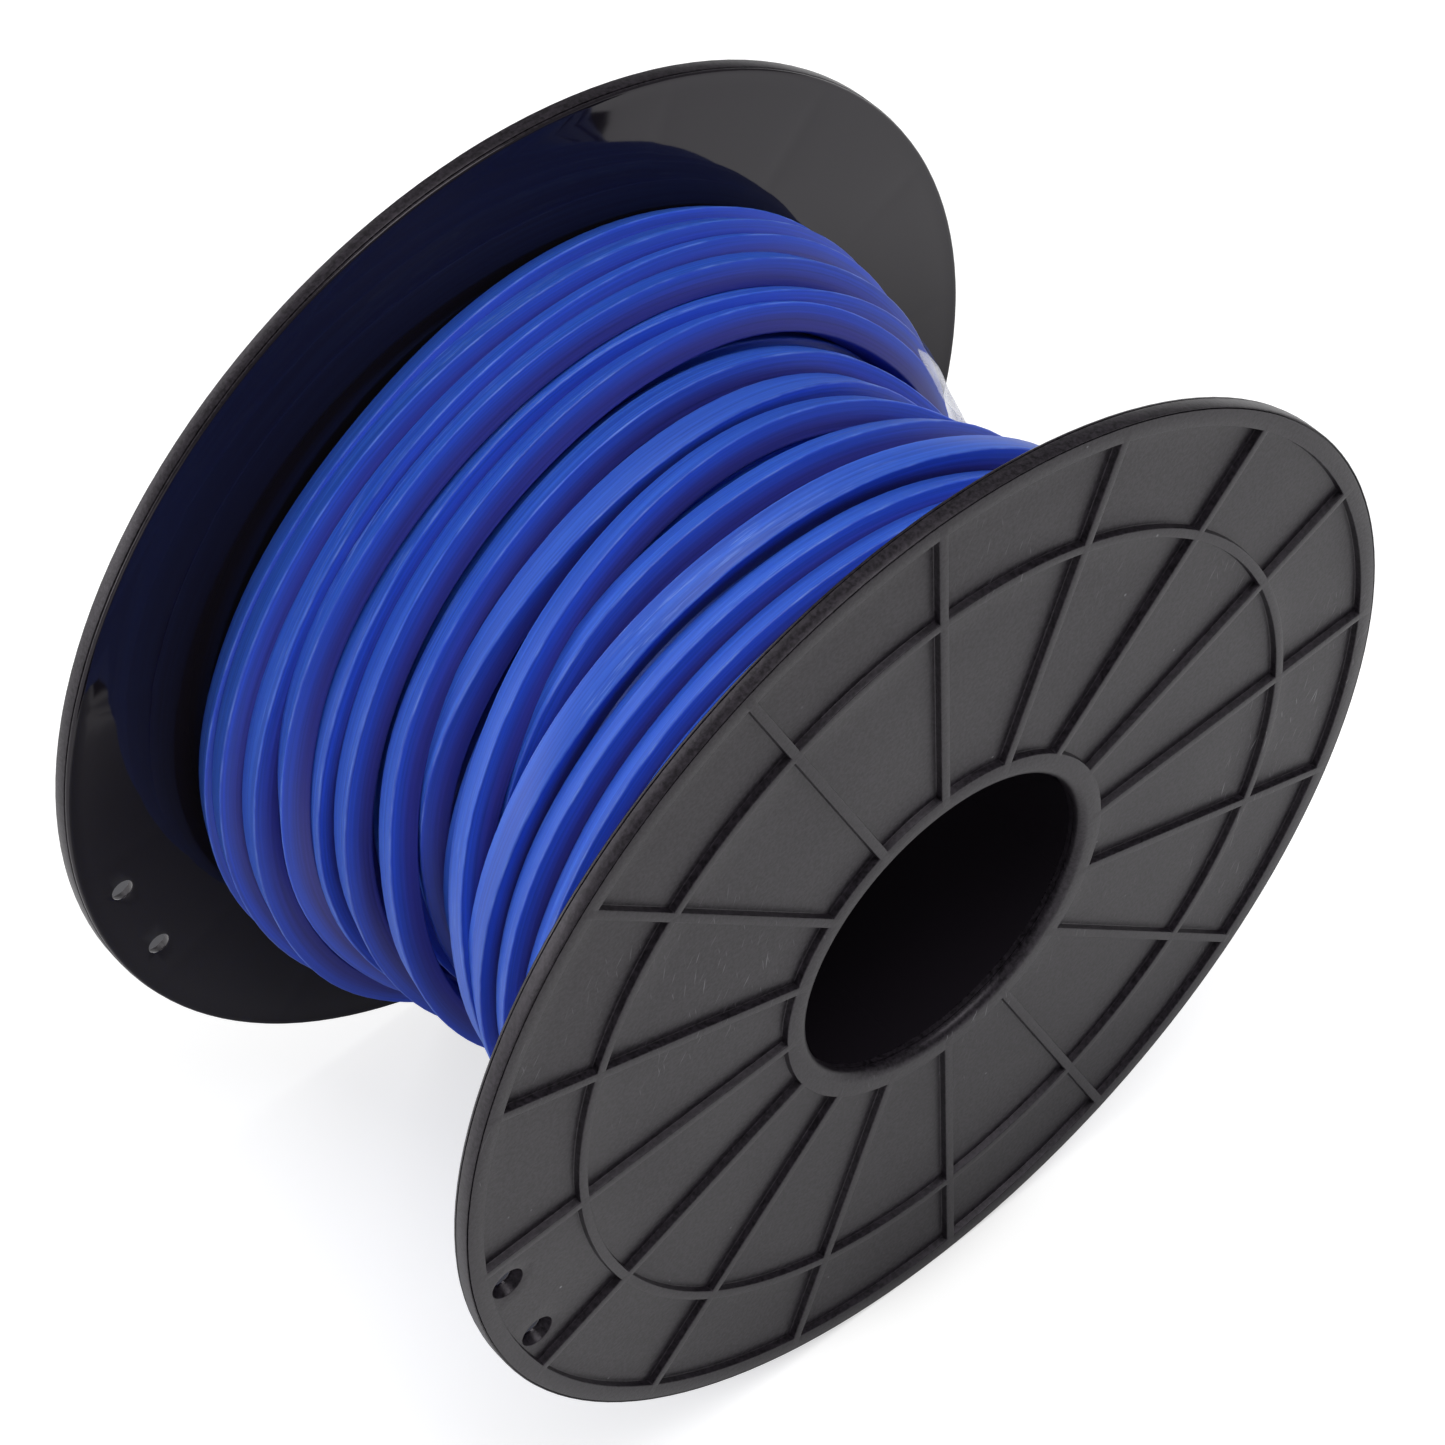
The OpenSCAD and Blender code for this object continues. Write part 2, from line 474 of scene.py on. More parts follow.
@dataclass(frozen=True)
class SpoolPlastic(Finish):
    """Black moulded plastic: eroded outside, polished where the line runs."""

    half_gap: float = field(kw_only=True)
    name: str = "moulded_plastic"
    colour: Colour = (0.0020, 0.0014, 0.0024, 1)
    speckled: Colour = (0.0240, 0.0200, 0.0260, 1)
    worn: Colour = (0.30, 0.30, 0.32, 1)
    inside_speckle: float = 0.42
    inside_roughness: float = 0.05
    outside_roughness: float = 0.38
    roughness_swing: float = 0.06
    gloss: float = 0.30
    # How far past the inner face the grained outside begins, and where it is full
    outside_from: Pair = (0.05 * MM, 0.25 * MM)
    # The bands of each noise over which the speckles and the groups of scratches set in
    speckle_band: Pair = (0.35, 0.65)
    group_band: Pair = (0.54, 0.72)
    # How far a scratch or a speck reaches in its cell, and the share of cells without one
    scratch_reach: Pair = (0.075, 0.02)
    scratch_rare: float = 0.40
    dust_reach: Pair = (0.07, 0.03)
    dust_rare: float = 0.86
    # Each set of scratches: its turn in degrees, and the width and length of its cells in mm
    scratch_sets: tuple[Point, ...] = (
        (-8, 0.9, 14.0),
        (-19, 0.7, 9.0),
        (-31, 0.8, 12.0),
        (7, 0.6, 7.0),
    )
    scratch_bend: float = 0.2 * MM
    dust_strength: float = 0.9

    def surface(self, tree: Tree) -> bpy.types.Node:
        """Builds the plastic: two degrees of gloss, mould grain, fine scratches and dust.

        Args:
            tree: The material's tree.

        Returns:
            The shader's node.
        """
        coordinates = tree.add("ShaderNodeTexCoord")
        place = coordinates.outputs["Object"]
        axes = tree.axes(place)
        depth = tree.math("ABSOLUTE", axes["Y"])
        outside = tree.ramp(depth, *(self.half_gap + reach for reach in self.outside_from))
        grain = tree.noise(place, scale=3000, detail=2, roughness=0.7)
        clouds = tree.noise(place, scale=90, detail=4)
        waves = tree.noise(place, scale=48, detail=1)
        marks = tree.math("MAXIMUM", self.scratches(tree, axes), self.dust(tree, place))
        facing = tree.axes(coordinates.outputs["Normal"])
        flat = tree.math("GREATER_THAN", tree.math("ABSOLUTE", facing["Y"]), 0.9)
        marks = tree.times(marks, tree.times(flat, outside))
        speckle = tree.mix(outside, self.inside_speckle, tree.ramp(grain, *self.speckle_band))
        mottled = tree.blend(speckle, self.colour, self.speckled)
        rough, swing = self.outside_roughness, self.roughness_swing
        rough_outside = tree.ramp(clouds, 0, 1, rough - swing, rough + swing)
        grained = tree.bump(tree.times(grain, outside), strength=0.5, distance=0.03 * MM)
        bent = tree.bump(waves, strength=0.30, distance=0.12 * MM)
        tree.feed(bent, "Normal", grained)
        return tree.add(
            "ShaderNodeBsdfPrincipled",
            Base_Color=tree.blend(marks, mottled, self.worn),
            Roughness=tree.mix(outside, self.inside_roughness, rough_outside),
            Normal=bent,
            IOR=1.5,
            Specular_IOR_Level=self.gloss,
            Specular_Tint=(0.98, 0.92, 1.0, 1),
        )

    def scratches(self, tree: Tree, axes: bpy.types.bpy_prop_collection) -> bpy.types.Node:
        """Adds short pale scratches, in loose groups, that run several ways.

        Args:
            tree: The material's tree.
            axes: The place's X, Y and Z.

        Returns:
            A node that is above 0 on a scratch and 0 elsewhere.
        """
        face = tree.add("ShaderNodeCombineXYZ", X=axes["X"], Y=axes["Z"])
        groups = tree.ramp(tree.noise(face, scale=38, detail=2), *self.group_band)
        bends = tree.noise(face, scale=260, detail=0)
        bent = tree.vector("ADD", face, tree.scaled(bends.outputs["Color"], self.scratch_bend))
        found = None
        for turn, wide, long in self.scratch_sets:
            turned = tree.add(
                "ShaderNodeMapping",
                vector_type="TEXTURE",
                Vector=bent,
                Location=(turn * MM, 0, 0),
                Rotation=(0, 0, math.radians(turn)),
                Scale=(wide * MM, long * MM, 1),
            )
            cells = tree.add("ShaderNodeTexVoronoi", voronoi_dimensions="2D", Vector=turned, Scale=1)
            line = self.chosen_cells(tree, cells, self.scratch_reach, self.scratch_rare)
            found = line if found is None else tree.math("MAXIMUM", found, line)
        return tree.times(found, groups)

    def dust(self, tree: Tree, place: bpy.types.NodeSocket) -> bpy.types.Node:
        """Adds a few specks of dust.

        Args:
            tree: The material's tree.
            place: The coordinates to read.

        Returns:
            A node that is above 0 on a speck and 0 elsewhere.
        """
        cells = tree.add("ShaderNodeTexVoronoi", Vector=place, Scale=460)
        specks = self.chosen_cells(tree, cells, self.dust_reach, self.dust_rare)
        return tree.times(specks, self.dust_strength)

    @staticmethod
    def chosen_cells(tree: Tree, cells: bpy.types.Node, reach: Pair, rare: float) -> bpy.types.Node:
        """Gives the middles of some of a texture's cells.

        Args:
            tree: The material's tree.
            cells: The Voronoi Texture node.
            reach: How far from a middle its mark ends, and where it is full.
            rare: The share of the cells that is left plain.

        Returns:
            A node that is above 0 on a mark and 0 elsewhere.
        """
        mark = tree.ramp(cells.outputs["Distance"], *reach)
        chance = tree.add("ShaderNodeSeparateColor", Color=cells.outputs["Color"]).outputs["Red"]
        return tree.times(mark, tree.ramp(chance, rare, 1))


@dataclass(frozen=True)
class LineNylon(Finish):
    """Blue extruded nylon: cloudy, with drawn streaks, a painted glow under each top edge and painted
    shade that darkens its sides towards the spool.
    """

    name: str = "drawn_nylon"
    colour: Colour = (0.034, 0.122, 0.60, 1)
    # Painted glow: the bright blue under each top edge, standing in for light carried through the nylon
    painted_glow_colour: Colour = (0.018, 0.074, 0.58, 1)
    # Painted shade: the dark violet that each turn's sides fade into towards the spool
    painted_shade_colour: Colour = (0.034, 0.038, 0.28, 1)
    # Pale blue for scuffs and rubbing, which also paints highlight lines along the corners and a sheen
    # on the top faces
    scuff_and_highlight_colour: Colour = (0.20, 0.34, 0.85, 1)
    gloss: float = 0.36
    # The bands, from the line's middle at 0 to its face at 1, in which the marks set in
    top_band: Pair = (0.90, 0.99)
    edge_band: Pair = (0.86, 0.95)
    # Where the sides fade from the painted glow into the painted shade
    painted_shade_band: Pair = (-0.5, 0.9)
    # The bands of each noise over which the marks set in, and how strong they get
    nick_band: Pair = (0.45, 0.65)
    nick_strength: float = 0.45
    rub_band: Pair = (0.50, 0.68)
    stroke_band: Pair = (0.54, 0.72)
    stroke_strength: float = 0.55
    streak_band: Pair = (0.3, 0.7)
    streak_low: float = 0.45
    streak_shade: Pair = (0.8, 1.2)
    roughness: Pair = (0.40, 0.58)

    def surface(self, tree: Tree) -> bpy.types.Node:
        """Builds the nylon from the line's own UV and from its place in the section.

        Args:
            tree: The material's tree.

        Returns:
            The shader's node.
        """
        length = tree.axes(tree.add("ShaderNodeUVMap", uv_map="UVMap"))["X"]
        attribute = tree.add("ShaderNodeAttribute", attribute_name="section")
        section = tree.axes(attribute.outputs["Vector"])
        place = tree.add("ShaderNodeCombineXYZ", X=length, Y=section["X"], Z=section["Y"])
        outer = tree.math("DIVIDE", section["X"], LINE_W / 2)
        across = tree.math("ABSOLUTE", tree.math("DIVIDE", section["Y"], LINE_W / 2))
        drawn = self.streaks(tree, place, 40, 4200, detail=3)
        cloudy = self.streaks(tree, place, 30, 500, detail=2)
        nicks = self.streaks(tree, place, 240, 900, detail=2)
        strokes = self.streaks(tree, place, 320, 5500, detail=3)
        top = tree.ramp(outer, *self.top_band)
        # Along the corners: wear marks that also paint a highlight line on each edge
        edge = tree.times(tree.ramp(across, *self.edge_band), tree.ramp(outer, *self.edge_band))
        edge = tree.times(edge, tree.ramp(nicks, *self.nick_band, high=self.nick_strength))
        # On the top faces: rubbed patches that also paint a pale sheen
        rubs = tree.ramp(cloudy, *self.rub_band)
        rubbed_and_sheen = tree.times(rubs, tree.ramp(strokes, *self.stroke_band, high=self.stroke_strength))
        scuff_and_highlight_mask = tree.math("MAXIMUM", edge, tree.times(rubbed_and_sheen, top))
        # Painted shade: the sides darken from the painted glow under the top edge to the painted shade
        # towards the spool
        swing = tree.times(tree.math("SUBTRACT", cloudy, 0.5), 0.5)
        painted_shade_to_glow = tree.ramp(tree.math("ADD", outer, swing), *self.painted_shade_band, soft=True)
        # The top face takes the plain colour, lighter than the painted sides
        lit = tree.times(top, tree.ramp(drawn, *self.streak_band, low=self.streak_low))
        body = tree.blend(lit, tree.blend(painted_shade_to_glow, self.painted_shade_colour, self.painted_glow_colour), self.colour)
        body = tree.scaled(body, tree.ramp(drawn, *self.streak_band, *self.streak_shade))
        return tree.add(
            "ShaderNodeBsdfPrincipled",
            Base_Color=tree.blend(scuff_and_highlight_mask, body, self.scuff_and_highlight_colour),
            Roughness=tree.ramp(drawn, 0, 1, *self.roughness),
            Normal=tree.bump(drawn, strength=0.30, distance=0.04 * MM),
            IOR=1.53,
            Specular_IOR_Level=self.gloss,
            Subsurface_Weight=0.35,
            Subsurface_Radius=(0.15, 0.35, 1.0),
            Subsurface_Scale=0.35 * MM,
        )

    @staticmethod
    def streaks(
        tree: Tree, place: bpy.types.Node, along: float, across: float, detail: float
    ) -> bpy.types.Node:
        """Adds a noise that is drawn out along the line.

        Args:
            tree: The material's tree.
            place: The place along the line and in its section.
            along: How many times it changes in a metre along the line.
            across: How many times it changes in a metre across the line.
            detail: The noise's detail.

        Returns:
            The Noise Texture node.
        """
        drawn_out = tree.add("ShaderNodeMapping", Vector=place, Scale=(along, across, across))
        return tree.noise(drawn_out, scale=1, detail=detail)


@dataclass(frozen=True)
class ClearTape(Finish):
    """Thin clear film with a milky, creased look."""

    name: str = "clear_film"
    colour: Colour = (0.80, 0.82, 0.92, 1)
    milky_from: Pair = (0.70, 0.98)
    milk: Pair = (0.02, 0.5)

    def surface(self, tree: Tree) -> bpy.types.Node:
        """Builds the film: mostly see-through, with a pale cast and fine creases.

        Args:
            tree: The material's tree.

        Returns:
            The shader's node.
        """
        place = tree.add("ShaderNodeTexCoord").outputs["Object"]
        bump = tree.bump(tree.noise(place, scale=420, detail=4), strength=0.4, distance=0.1 * MM)
        edge_on = tree.add("ShaderNodeLayerWeight", Blend=0.5, Normal=bump).outputs["Facing"]
        return tree.add(
            "ShaderNodeBsdfPrincipled",
            Base_Color=self.colour,
            Roughness=0.16,
            Normal=bump,
            Alpha=tree.ramp(edge_on, *self.milky_from, *self.milk),
            IOR=1.47,
        )


@dataclass(frozen=True)
class StageFinish(Finish):
    """The pale floor, which the camera sees as white apart from the object's shadow.

    Attributes:
        light: The strength of the floor's own light.
        shaded: Its colour where a flange shades it.
        shadow_at: The middle of the floor that the object covers, as the camera sees it.
        shadow_r: How far from there its own light sets in, and where it is full.
        mirrored_at: The middle of the floor that the object covers in what mirrors it.
        mirrored_r: The same two distances for it.
        cast_from: Where the flanges' soft shadow comes from.
        front_dark_at: The middle of the dark part of the front flange's shadow.
        rear_dark_at: The middle of the dark part of the rear flange's shadow.
        dark_r: How far from either middle the shadow fades, and where it ends.
        patch_shape: How the distances from all of these middles are scaled along X, Y and Z.
        disc_y: How far each flange stands from the middle.
        disc_r: The radii at which its shadow begins to fade, and where it ends.
    """

    name: str = "stage_floor"
    colour: Colour = (0.56, 0.56, 0.56, 1)
    light: float = 0.66
    shaded: Colour = (0.12, 0.12, 0.13, 1)
    shadow_at: Point = (0.0, -0.010, 0.0)
    shadow_r: Pair = (0.008, 0.020)
    mirrored_at: Point = (0.010, 0.012, 0.0)
    mirrored_r: Pair = (0.032, 0.064)
    cast_from: Point = (-0.140, -0.162, 0.247)
    front_dark_at: Point = (-0.006, -0.010, 0.0)
    rear_dark_at: Point = (-0.009, 0.044, 0.0)
    dark_r: Pair = (0.0135, 0.024)
    patch_shape: Point = (0.6, 1, 0)
    disc_y: float = 0.025
    disc_r: Pair = (0.0460, 0.0474)

    def surface(self, tree: Tree) -> bpy.types.Node:
        """Builds a plain floor that adds light of its own only to what looks at it.

        None is added where the object covers the floor, so it stays dark under there.

        Args:
            tree: The material's tree.

        Returns:
            The shader's node.
        """
        rays = tree.add("ShaderNodeLightPath").outputs
        camera = rays["Is Camera Ray"]
        mirrored = tree.math("MAXIMUM", rays["Is Glossy Ray"], rays["Is Transmission Ray"])
        clear = tree.times(
            self.cast_shadow(tree, -self.disc_y, self.front_dark_at),
            self.cast_shadow(tree, self.disc_y, self.rear_dark_at),
        )
        looks = tree.times(camera, self.open_floor(tree, self.shadow_at, self.shadow_r))
        looks = tree.times(looks, clear)
        mirrors = tree.times(mirrored, self.open_floor(tree, self.mirrored_at, self.mirrored_r))
        plain = tree.math("MAXIMUM", tree.math("SUBTRACT", 1, camera), clear)
        return tree.add(
            "ShaderNodeBsdfPrincipled",
            Base_Color=tree.blend(plain, self.shaded, self.colour),
            Roughness=0.9,
            Emission_Color=(1, 1, 1, 1),
            Emission_Strength=tree.times(tree.math("ADD", looks, mirrors), self.light),
        )

    def cast_shadow(self, tree: Tree, y: float, middle: Point) -> bpy.types.Node:
        """Gives where the floor lies outside the soft shadow that one flange casts on it.

        Args:
            tree: The material's tree.
            y: Where the flange stands along the spool.
            middle: The middle of the part of its shadow that is dark.

        Returns:
            A node that is 0 in the shadow and 1 on the open floor.
        """
        place = tree.add("ShaderNodeTexCoord").outputs["Object"]
        up = tree.vector("SUBTRACT", self.cast_from, place)
        share = tree.math("DIVIDE", tree.math("SUBTRACT", y, tree.axes(place)["Y"]), tree.axes(up)["Y"])
        hit = tree.vector("ADD", place, tree.scaled(up, share))
        away = tree.vector("LENGTH", tree.vector("MULTIPLY", hit, (1, 0, 1))).outputs["Value"]
        beside = tree.ramp(away, *self.disc_r, soft=True)
        return tree.math("MAXIMUM", beside, self.open_floor(tree, middle, self.dark_r))

    def open_floor(self, tree: Tree, middle: Point, reach: Pair) -> bpy.types.Node:
        """Gives where the floor lies open, which fades out under the object.

        Args:
            tree: The material's tree.
            middle: The middle of the covered patch.
            reach: How far from the middle the open floor sets in, and where it is full.

        Returns:
            A node that is 0 on the patch and 1 on the open floor.
        """
        place = tree.add("ShaderNodeTexCoord").outputs["Object"]
        flat = tree.vector("MULTIPLY", place, self.patch_shape)
        away = tree.vector("DISTANCE", flat, middle).outputs["Value"]
        return tree.ramp(away, *reach, soft=True)


# ---------------------------------------------------------------- flanges and barrel


class Side(Enum):
    """Which end of the spool a flange stands at: its sign along Y."""

    FRONT = -1
    REAR = 1


@dataclass(frozen=True)
class Row:
    """One ring of points of a flange.

    Attributes:
        r: Its radius.
        depth: Its depth from the inner face.
        ribbed: Whether the ribs stand over it.
        sunk: How far a sink mark draws it in, from 0 to 1.
    """

    r: float
    depth: float
    ribbed: bool = False
    sunk: float = 0.0


@dataclass
class Flange:
    """One flange moulding: a web between rim, ring rib, radial ribs and boss, with two tie holes."""

    sizes: SpoolSizes
    side: Side
    finish: Finish
    web_t: float = 1.0 * MM
    rim_w: float = 1.7 * MM
    boss_w: float = 2.2 * MM
    bore_round: float = 0.8 * MM
    rib_count: int = 16
    rib_w: float = 0.85 * MM
    ring_r: float = 36.9 * MM
    wall_lean: float = 0.05 * MM
    top_round: float = 0.08 * MM
    root_round: float = 0.07 * MM
    socket_r: float = 15.75 * MM
    socket_depth: float = 0.65 * MM
    groove: float = 0.17 * MM
    notch: float = 0.14 * MM
    inner_edge: float = 0.5 * MM
    tie_angle: float = 195.0
    tie_hole_r: float = 1.45 * MM
    tie_hole_inside_r: float = 1.0 * MM
    tie_hole_pitch: float = 9.4 * MM
    tie_hole_edge: float = 0.25 * MM
    tie_hole_soft: float = 0.05 * MM
    tie_hole_steps: int = 40
    tie_hole_past: float = 0.6 * MM
    sink: float = 0.022 * MM
    sink_reach: float = 1.3 * MM
    sink_steps: int = 30
    merge: float = 0.002 * MM

    @property
    def rim_in(self) -> float:
        """The inner radius of the rim ring."""
        return self.sizes.flange_r - self.rim_w

    @property
    def height(self) -> float:
        """The height of the ribs over the web."""
        return self.sizes.flange_t - self.web_t

    def wall(self) -> list[Pair]:
        """Draws a wall from its flat top down to the web.

        Returns:
            Points of (distance out from the wall's top edge, height over the web).
        """
        top, root = self.top_round, self.root_round
        return [
            *arc((-top, self.height - top), top, 90, 0, steps=3),
            *[(root + self.wall_lean - x, y) for x, y in arc((0, root), root, 0, -90, steps=4)],
        ]

    def ring_rows(self) -> list[Row]:
        """Draws the outer face from the boss to the rim, ribs apart.

        Returns:
            Its rows, in order.
        """
        wall = self.wall()
        half = self.rib_w / 2
        boss_r = self.sizes.bore_r + self.boss_w
        profile = [(boss_r + x, h) for x, h in wall]
        profile += self.flat(profile[-1][0], self.ring_r - half - wall[-1][0], steps=6)
        profile += [(self.ring_r - half - x, h) for x, h in reversed(wall)]
        profile += [(self.ring_r + half + x, h) for x, h in wall]
        profile += self.flat(profile[-1][0], self.rim_in - wall[-1][0], steps=4)
        profile += [(self.rim_in - x, h) for x, h in reversed(wall)]
        return [Row(r, self.web_t + h, ribbed=True) for r, h in profile]

    @staticmethod
    def flat(start: float, end: float, steps: int) -> list[Pair]:
        """Gives the points between two radii at the height of the web, ends left out."""
        return [(start + (end - start) * i / steps, 0.0) for i in range(1, steps)]

    def rim_rows(self) -> list[Row]:
        """Draws the rim's side, with its groove and its flash line, down to the inner face.

        Returns:
            Its rows, in order.
        """
        r, t, groove, notch = self.sizes.flange_r, self.sizes.flange_t, self.groove, self.notch
        profile = [
            (r - 0.25 * MM, t),
            (r - 0.20 * MM, t - 0.015 * MM),
            (r - 0.18 * MM, t - groove),
            (r - 0.12 * MM, t - groove),
            (r - 0.10 * MM, t - 0.05 * MM),
            (r - 0.06 * MM, t - 0.03 * MM),
            (r - 0.02 * MM, t - 0.05 * MM),
            (r, t - 0.10 * MM),
            (r, 0.44 * MM),
            (r - 0.02 * MM, 0.40 * MM),
            (r - notch, 0.37 * MM),
            (r - notch, 0.30 * MM),
            (r - 0.05 * MM, 0.27 * MM),
            *arc((r - 0.25 * MM, 0.20 * MM), 0.20 * MM, 0, -90, steps=4),
        ]
        return [Row(x, y) for x, y in profile]

    def inner_rows(self) -> list[Row]:
        """Draws the polished inner face, its sink marks and the socket that holds the barrel.

        Returns:
            Its rows, in order.
        """
        outer, inner = self.sizes.flange_r - self.inner_edge, self.sizes.barrel_r
        ribs = (self.ring_r, self.rim_in + self.rim_w / 2)
        rows = []
        for i in range(self.sink_steps + 1):
            r = outer + (inner - outer) * i / self.sink_steps
            near = min(abs(r - rib) for rib in ribs) / self.sink_reach
            rows.append(Row(r, 0.0, sunk=math.exp(-near * near)))
        socket = [
            (self.socket_r, 0.0),
            (self.socket_r, self.socket_depth),
            (self.sizes.bore_r, self.socket_depth),
        ]
        return rows + [Row(x, y) for x, y in socket]

    def bore_rows(self) -> list[Row]:
        """Draws the bore wall, its rounded mouth and the flat top of the boss.

        Returns:
            Its rows, in order.
        """
        bore_r, t, soft = self.sizes.bore_r, self.sizes.flange_t, self.bore_round
        mouth = arc((bore_r + soft, t - soft), soft, 180, 90, steps=7)
        return [Row(r, depth) for r, depth in mouth]

    def rows(self) -> list[Row]:
        """Joins all the rows into one closed outline."""
        return self.bore_rows() + self.ring_rows() + self.rim_rows() + self.inner_rows()

    def columns(self) -> list[tuple[float, float, float]]:
        """Draws one rib across its length, and the web beside it.

        Returns:
            One (side, distance from the rib's middle line, height) for each column, from the
            middle of the bay on one side to the middle of the bay on the other. A height
            below 0 marks a column whose distance is a share of the way to the bay's middle.
        """
        half = self.rib_w / 2
        near = [(half + x, h) for x, h in self.wall()]
        near += [(near[-1][0] + step, 0.0) for step in (0.35 * MM, 0.8 * MM)]
        shares = (0.25, 0.5, 0.75, 1.0)
        one_side = [(d, h) for d, h in near] + [(s, -1.0) for s in shares]
        left = [(-1.0, d, h) for d, h in reversed(one_side)]
        return left + [(1.0, 0.0, self.height)] + [(1.0, d, h) for d, h in one_side]

    def bay(self) -> bpy.types.Object:
        """Builds the sector round one rib, from mid-bay to mid-bay.

        Returns:
            The sector as an open mesh object, its rib at the angle 0.
        """
        rows, columns = self.rows(), self.columns()
        half_bay = math.pi / self.rib_count
        edge = max(d for _, d, h in columns if h >= 0)
        points = []
        for row in rows:
            for sign, d, h in columns:
                near_edge = math.asin(edge / row.r)
                turn = math.asin(d / row.r) if h >= 0 else near_edge + d * (half_bay - near_edge)
                depth = max(row.depth, self.web_t + max(h, 0.0)) if row.ribbed else row.depth
                if row.sunk:
                    across = turn * row.r / self.sink_reach
                    depth += self.sink * max(row.sunk, math.exp(-across * across))
                y = self.side.value * (self.sizes.half_gap + depth)
                points.append(on_spool(row.r, math.degrees(sign * turn), y))
        faces = grid_faces(len(rows), len(columns), close_rows=True)
        return mesh_object(f"{self.side.name.lower()}_flange_moulding", points, faces)

    @staticmethod
    def repeat_tree() -> GeometryTree:
        """Builds the tree that repeats a sector round the spool axis.

        Returns:
            The tree, with inputs for the count, first angle, merge distance and material.
        """
        tree = GeometryTree("repeat_round_axis")
        count = tree.named_input("Count", "Int")
        first = tree.named_input("First Angle", "Float")
        merge = tree.named_input("Merge Distance", "Float")
        material = tree.named_input("Material", "Material")
        index = tree.add("GeometryNodeInputIndex")
        step = tree.math("DIVIDE", math.tau, count)
        turn = tree.math("SUBTRACT", tree.times(index, tree.times(step, -1)), first)
        spin = tree.add("ShaderNodeCombineXYZ", Y=turn)
        spots = tree.add("GeometryNodePoints", Count=count)
        copies = tree.add(
            "GeometryNodeInstanceOnPoints",
            Points=spots,
            Instance=tree.start.outputs["Geometry"],
            Rotation=spin,
        )
        real = tree.add("GeometryNodeRealizeInstances", Geometry=copies)
        joined = tree.add("GeometryNodeMergeByDistance", Geometry=real, Distance=merge)
        tree.finish_with(joined, material)
        return tree

    def tie_hole_cutter(self, sign: int) -> bpy.types.Object:
        """Builds the tool that cuts one tie hole and softens its two edges.

        Args:
            sign: Which of the two holes, -1 or 1.

        Returns:
            The cutter as a closed mesh object.
        """
        ring = self.rim_in - self.tie_hole_edge - self.tie_hole_r
        angle = self.tie_angle + sign * math.degrees(math.asin(self.tie_hole_pitch / 2 / ring))
        wide, narrow = self.tie_hole_r, self.tie_hole_inside_r
        soft, past = self.tie_hole_soft, self.tie_hole_past
        outline = [
            (-past, narrow + soft),
            *[(2 * soft - x, y) for x, y in arc((soft, narrow + soft), soft, 0, -90, steps=3)],
            *[(self.web_t - soft + x, y) for x, y in arc((0, wide + soft), soft, -90, 0, steps=3)],
            (self.web_t + past, wide + soft),
        ]
        centre = Vector(on_spool(ring, angle, 0))
        steps = self.tie_hole_steps
        points = []
        for depth, r in outline:
            y = self.side.value * (self.sizes.half_gap + depth)
            for k in range(steps):
                a = math.tau * k / steps
                points.append((centre.x + r * math.cos(a), y, centre.z + r * math.sin(a)))
        faces = grid_faces(len(outline), steps, close_columns=True)
        faces.append(tuple(range(steps)))
        faces.append(tuple(range((len(outline) - 1) * steps, len(outline) * steps)))
        cutter = mesh_object("tie_hole_cutter", points, faces)
        clean_up(cutter, MERGE, sharp_angle=40)
        cutter.data.materials.append(self.finish.material())
        return cutter

    def build(self) -> None:
        """Builds the whole flange and hands it to the frame."""
        piece = self.bay()
        self.repeat_tree().run_on(
            piece,
            Count=self.rib_count,
            First_Angle=math.radians(self.tie_angle + 180 / self.rib_count),
            Merge_Distance=self.merge,
            Material=self.finish.material(),
        )
        clean_up(piece, self.merge, sharp_angle=50)
        for sign in (-1, 1):
            cutter = self.tie_hole_cutter(sign)
            cut = piece.modifiers.new("tie_hole", "BOOLEAN")
            cut.solver = "MANIFOLD"
            cut.object = cutter
            bake_modifiers(piece)
            bpy.data.objects.remove(cutter)
        piece.data.set_sharp_from_angle(angle=math.radians(40))
        place_piece(piece, "spool_plastic", f"{self.side.name.lower()}_flange")


@dataclass
class Barrel:
    """The tube that the line is wound on, with a spigot in each flange."""

    sizes: SpoolSizes
    finish: Finish
    spigot_h: float = 0.6 * MM
    spigot_wall: float = 1.2 * MM
    soft: float = 0.15 * MM
    steps: int = 128

    def build(self) -> None:
        """Turns the tube's outline round the axis and hands it to the frame."""
        half, r, out, soft = self.sizes.half_gap, self.sizes.bore_r, self.sizes.barrel_r, self.soft
        end, spigot = half + self.spigot_h, r + self.spigot_wall
        outline = [(r, 0.0), (r, half), (r, end), (spigot - soft, end), (spigot, end - soft)]
        outline += [(spigot, half), (out, half), (out, half - soft), (out, 0.0)]
        outline += [(x, -y) for x, y in reversed(outline[1:-1])]
        piece = turned_ring("barrel_tube", outline, self.steps)
        clean_up(piece, MERGE, sharp_angle=30)
        piece.data.materials.append(self.finish.material())
        place_piece(piece, "spool_plastic", "barrel")


# ---------------------------------------------------------------- the winding

# Angles round the spool at which the lay of a turn is set, in degrees
STATIONS = (30, 60, 90, 120, 150, 180, 210)

Setting = tuple[float, ...] | float


@dataclass(frozen=True)
class Turn:
    """How one turn of the line lies on the side where its lay is given.

    Attributes:
        lay: Where the turn's front upper edge lies along the spool at each station, in mm.
        top: How far that edge stands from the spool's axis at each station, in mm.
        lean: How far the square section leans towards the rear at each station, in degrees.
    """

    lay: Setting
    top: Setting
    lean: Setting = 27.0

    def read(self, step: float) -> Vector:
        """Gives the lay, top and lean at a place between stations, counted in steps."""
        settings = (self.lay, self.top, self.lean)
        return Vector([spline(s, step) if isinstance(s, tuple) else s for s in settings])


